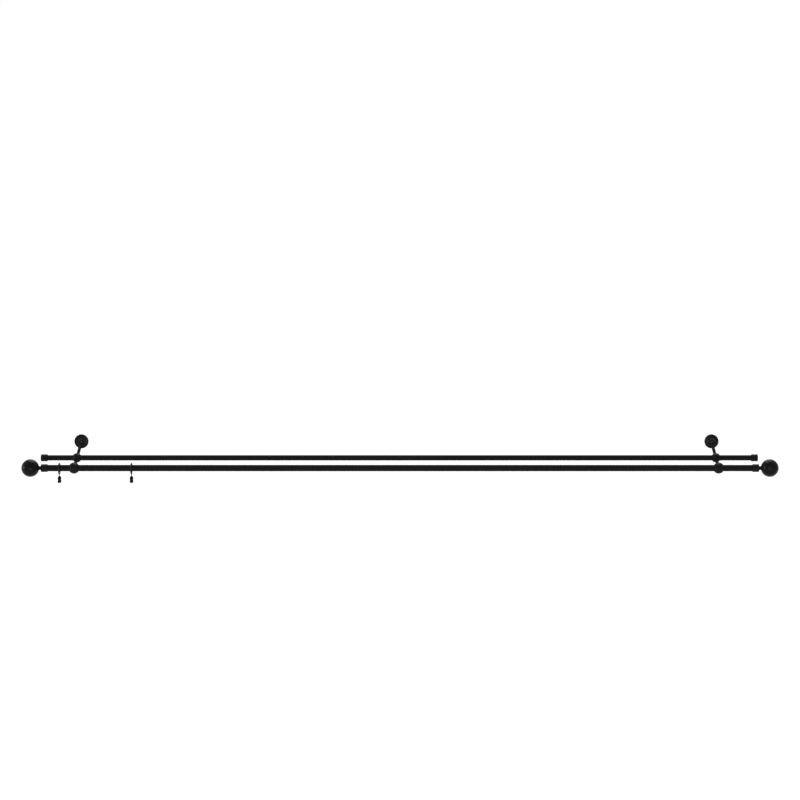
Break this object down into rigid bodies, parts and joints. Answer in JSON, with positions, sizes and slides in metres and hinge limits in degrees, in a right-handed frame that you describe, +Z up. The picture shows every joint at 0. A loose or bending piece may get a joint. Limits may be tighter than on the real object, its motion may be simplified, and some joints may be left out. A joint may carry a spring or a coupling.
{
  "type": "double curtain pole",
  "caption": "Double curtain pole with ball finials, on sloping wall brackets, with clip rings that slide on the front rod.",
  "frame": {"origin": "on the wall, at the middle of the left bracket's wall plate", "axes": "+X along both rods to the right, +Y into the wall, +Z up"},
  "size_m": [2.2202, 0.1695, 0.1296],
  "materials": {
    "rod_black": "satin black powder coat",
    "fitting_black": "satin black powder coat",
    "ball_black": "semi-gloss black",
    "ring_black": "satin black, slightly worn",
    "clip_black": "moulded black",
    "screw_steel": "dark steel",
    "spring_steel": "bright spring wire"
  },
  "bodies": {
    "pole": {"front_rod": "rod_black", "rear_rod": "rod_black", "left_rear_cap": "fitting_black", "right_rear_cap": "fitting_black", "left_finial_socket": "fitting_black", "right_finial_socket": "fitting_black", "left_finial_ball": "ball_black", "right_finial_ball": "ball_black", "finial_screws": "screw_steel", "socket_grub_screws": "screw_steel", "rosette_grub_screws": "screw_steel", "rear_holder_grub_screws": "screw_steel", "front_holder_grub_screws": "screw_steel", "left_wall_plate": "fitting_black", "left_rosette": "fitting_black", "left_long_arm": "fitting_black", "left_rear_holder": "fitting_black", "left_short_arm": "fitting_black", "left_front_holder": "fitting_black", "right_wall_plate": "fitting_black", "right_rosette": "fitting_black", "right_long_arm": "fitting_black", "right_rear_holder": "fitting_black", "right_short_arm": "fitting_black", "right_front_holder": "fitting_black"},
    "end_ring": {"end_ring": "ring_black", "end_ring_eyelet": "ring_black"},
    "end_clip": {"end_clip_body": "clip_black", "end_clip_hanger_pin": "screw_steel", "end_clip_pivot_pin": "screw_steel", "end_clip_spring": "spring_steel"},
    "end_jaw": {"end_clip_jaw": "clip_black"},
    "span_ring": {"span_ring": "ring_black", "span_ring_eyelet": "ring_black"},
    "span_clip": {"span_clip_body": "clip_black", "span_clip_hanger_pin": "screw_steel", "span_clip_pivot_pin": "screw_steel", "span_clip_spring": "spring_steel"},
    "span_jaw": {"span_clip_jaw": "clip_black"}
  },
  "joints": [
    {"name": "end_ring_slide", "type": "slide", "parent": "pole", "child": "end_ring", "axis": [1, 0, 0], "range_m": [-0.032, 0.028]},
    {"name": "end_clip_swing", "type": "hinge", "parent": "end_ring", "child": "end_clip", "pos_m": [-0.0433, -0.14336, -0.08943], "axis": [1, 0, 0], "range_deg": [-60, 60]},
    {"name": "end_jaw_open", "type": "hinge", "parent": "end_clip", "child": "end_jaw", "pos_m": [-0.0433, -0.14336, -0.09873], "axis": [-1, 0, 0], "range_deg": [0, 22], "stiffness_Nm_per_rad": 0.01, "springref_deg": -11.46, "deforming": ["end_clip_spring"]},
    {"name": "span_ring_slide", "type": "slide", "parent": "pole", "child": "span_ring", "axis": [1, 0, 0], "range_m": [-0.1525, 1.7065]},
    {"name": "span_clip_swing", "type": "hinge", "parent": "span_ring", "child": "span_clip", "pos_m": [0.168, -0.14336, -0.08943], "axis": [1, 0, 0], "range_deg": [-60, 60]},
    {"name": "span_jaw_open", "type": "hinge", "parent": "span_clip", "child": "span_jaw", "pos_m": [0.168, -0.14336, -0.09873], "axis": [-1, 0, 0], "range_deg": [0, 22], "stiffness_Nm_per_rad": 0.01, "springref_deg": -11.46, "deforming": ["span_clip_spring"]}
  ]
}
